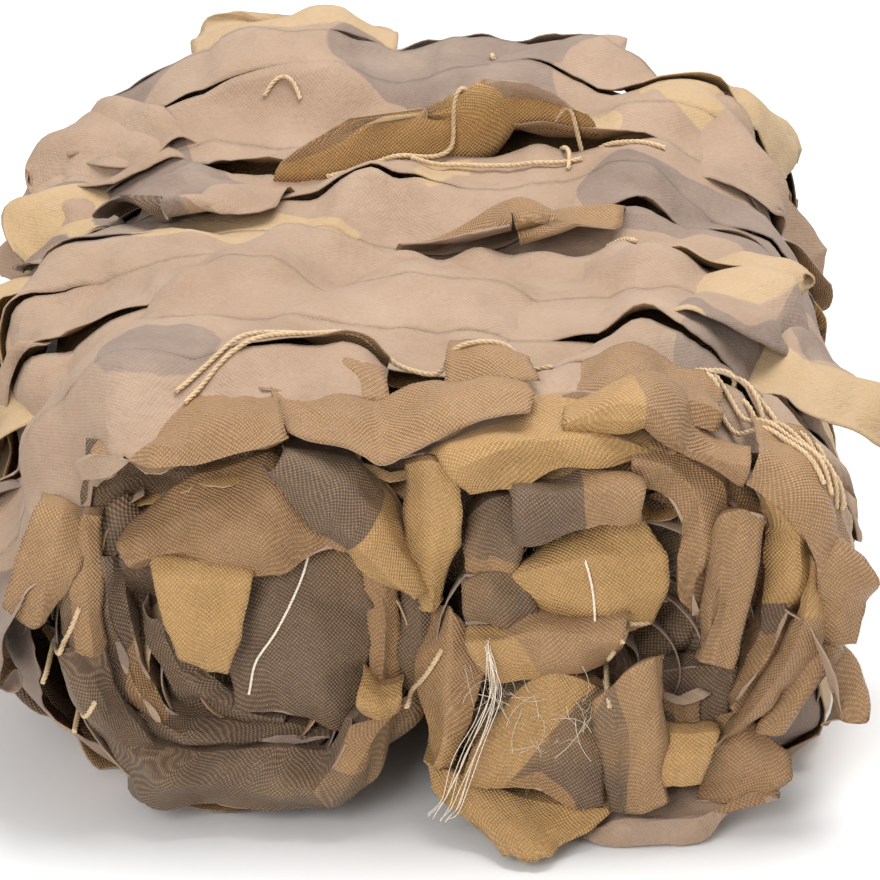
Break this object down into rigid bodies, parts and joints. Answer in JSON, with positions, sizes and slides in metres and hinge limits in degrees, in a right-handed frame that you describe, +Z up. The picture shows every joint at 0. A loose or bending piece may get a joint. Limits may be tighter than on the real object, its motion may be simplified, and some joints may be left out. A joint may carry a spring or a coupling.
{
  "type": "rolled camouflage net",
  "caption": "Desert camouflage net of cut cloth leaves on twine netting, folded lengthwise and rolled from both ends to the middle.",
  "frame": {"origin": "under the middle of the bundle, on the surface that it lies on", "axes": "+Z up, +Y along the rolls towards the plain back end, +X to the right when the finished front end is faced"},
  "size_m": [0.2632, 0.3372, 0.1332],
  "materials": {
    "cloth_brown": "matte woven polyester, mid brown print",
    "cloth_tan": "matte woven polyester, tan print",
    "cloth_grey": "matte woven polyester, grey-brown print",
    "netting_cord": "twisted synthetic twine, straw colour"
  },
  "bodies": {
    "root": {"wound_net": "cloth_brown", "leaf_left_shoulder": "cloth_brown", "leaf_top_front": "cloth_tan", "leaf_right_shoulder": "cloth_grey", "leaf_left_front_tip": "cloth_brown", "leaf_left_middle": "cloth_tan", "leaf_left_back": "cloth_grey", "leaf_right_front_tip": "cloth_brown", "leaf_right_middle": "cloth_tan", "leaf_right_back": "cloth_grey", "leaf_back_right_corner": "cloth_brown", "leaf_back_top_left": "cloth_tan", "leaf_back_top_right": "cloth_grey", "leaf_top_opening": "cloth_brown", "leaf_top_left_crest": "cloth_tan", "net_cord_front": "netting_cord", "net_cord_middle_near": "netting_cord", "net_cord_middle_far": "netting_cord", "net_cord_right_near": "netting_cord", "net_cord_right_far": "netting_cord"}
  },
  "joints": []
}
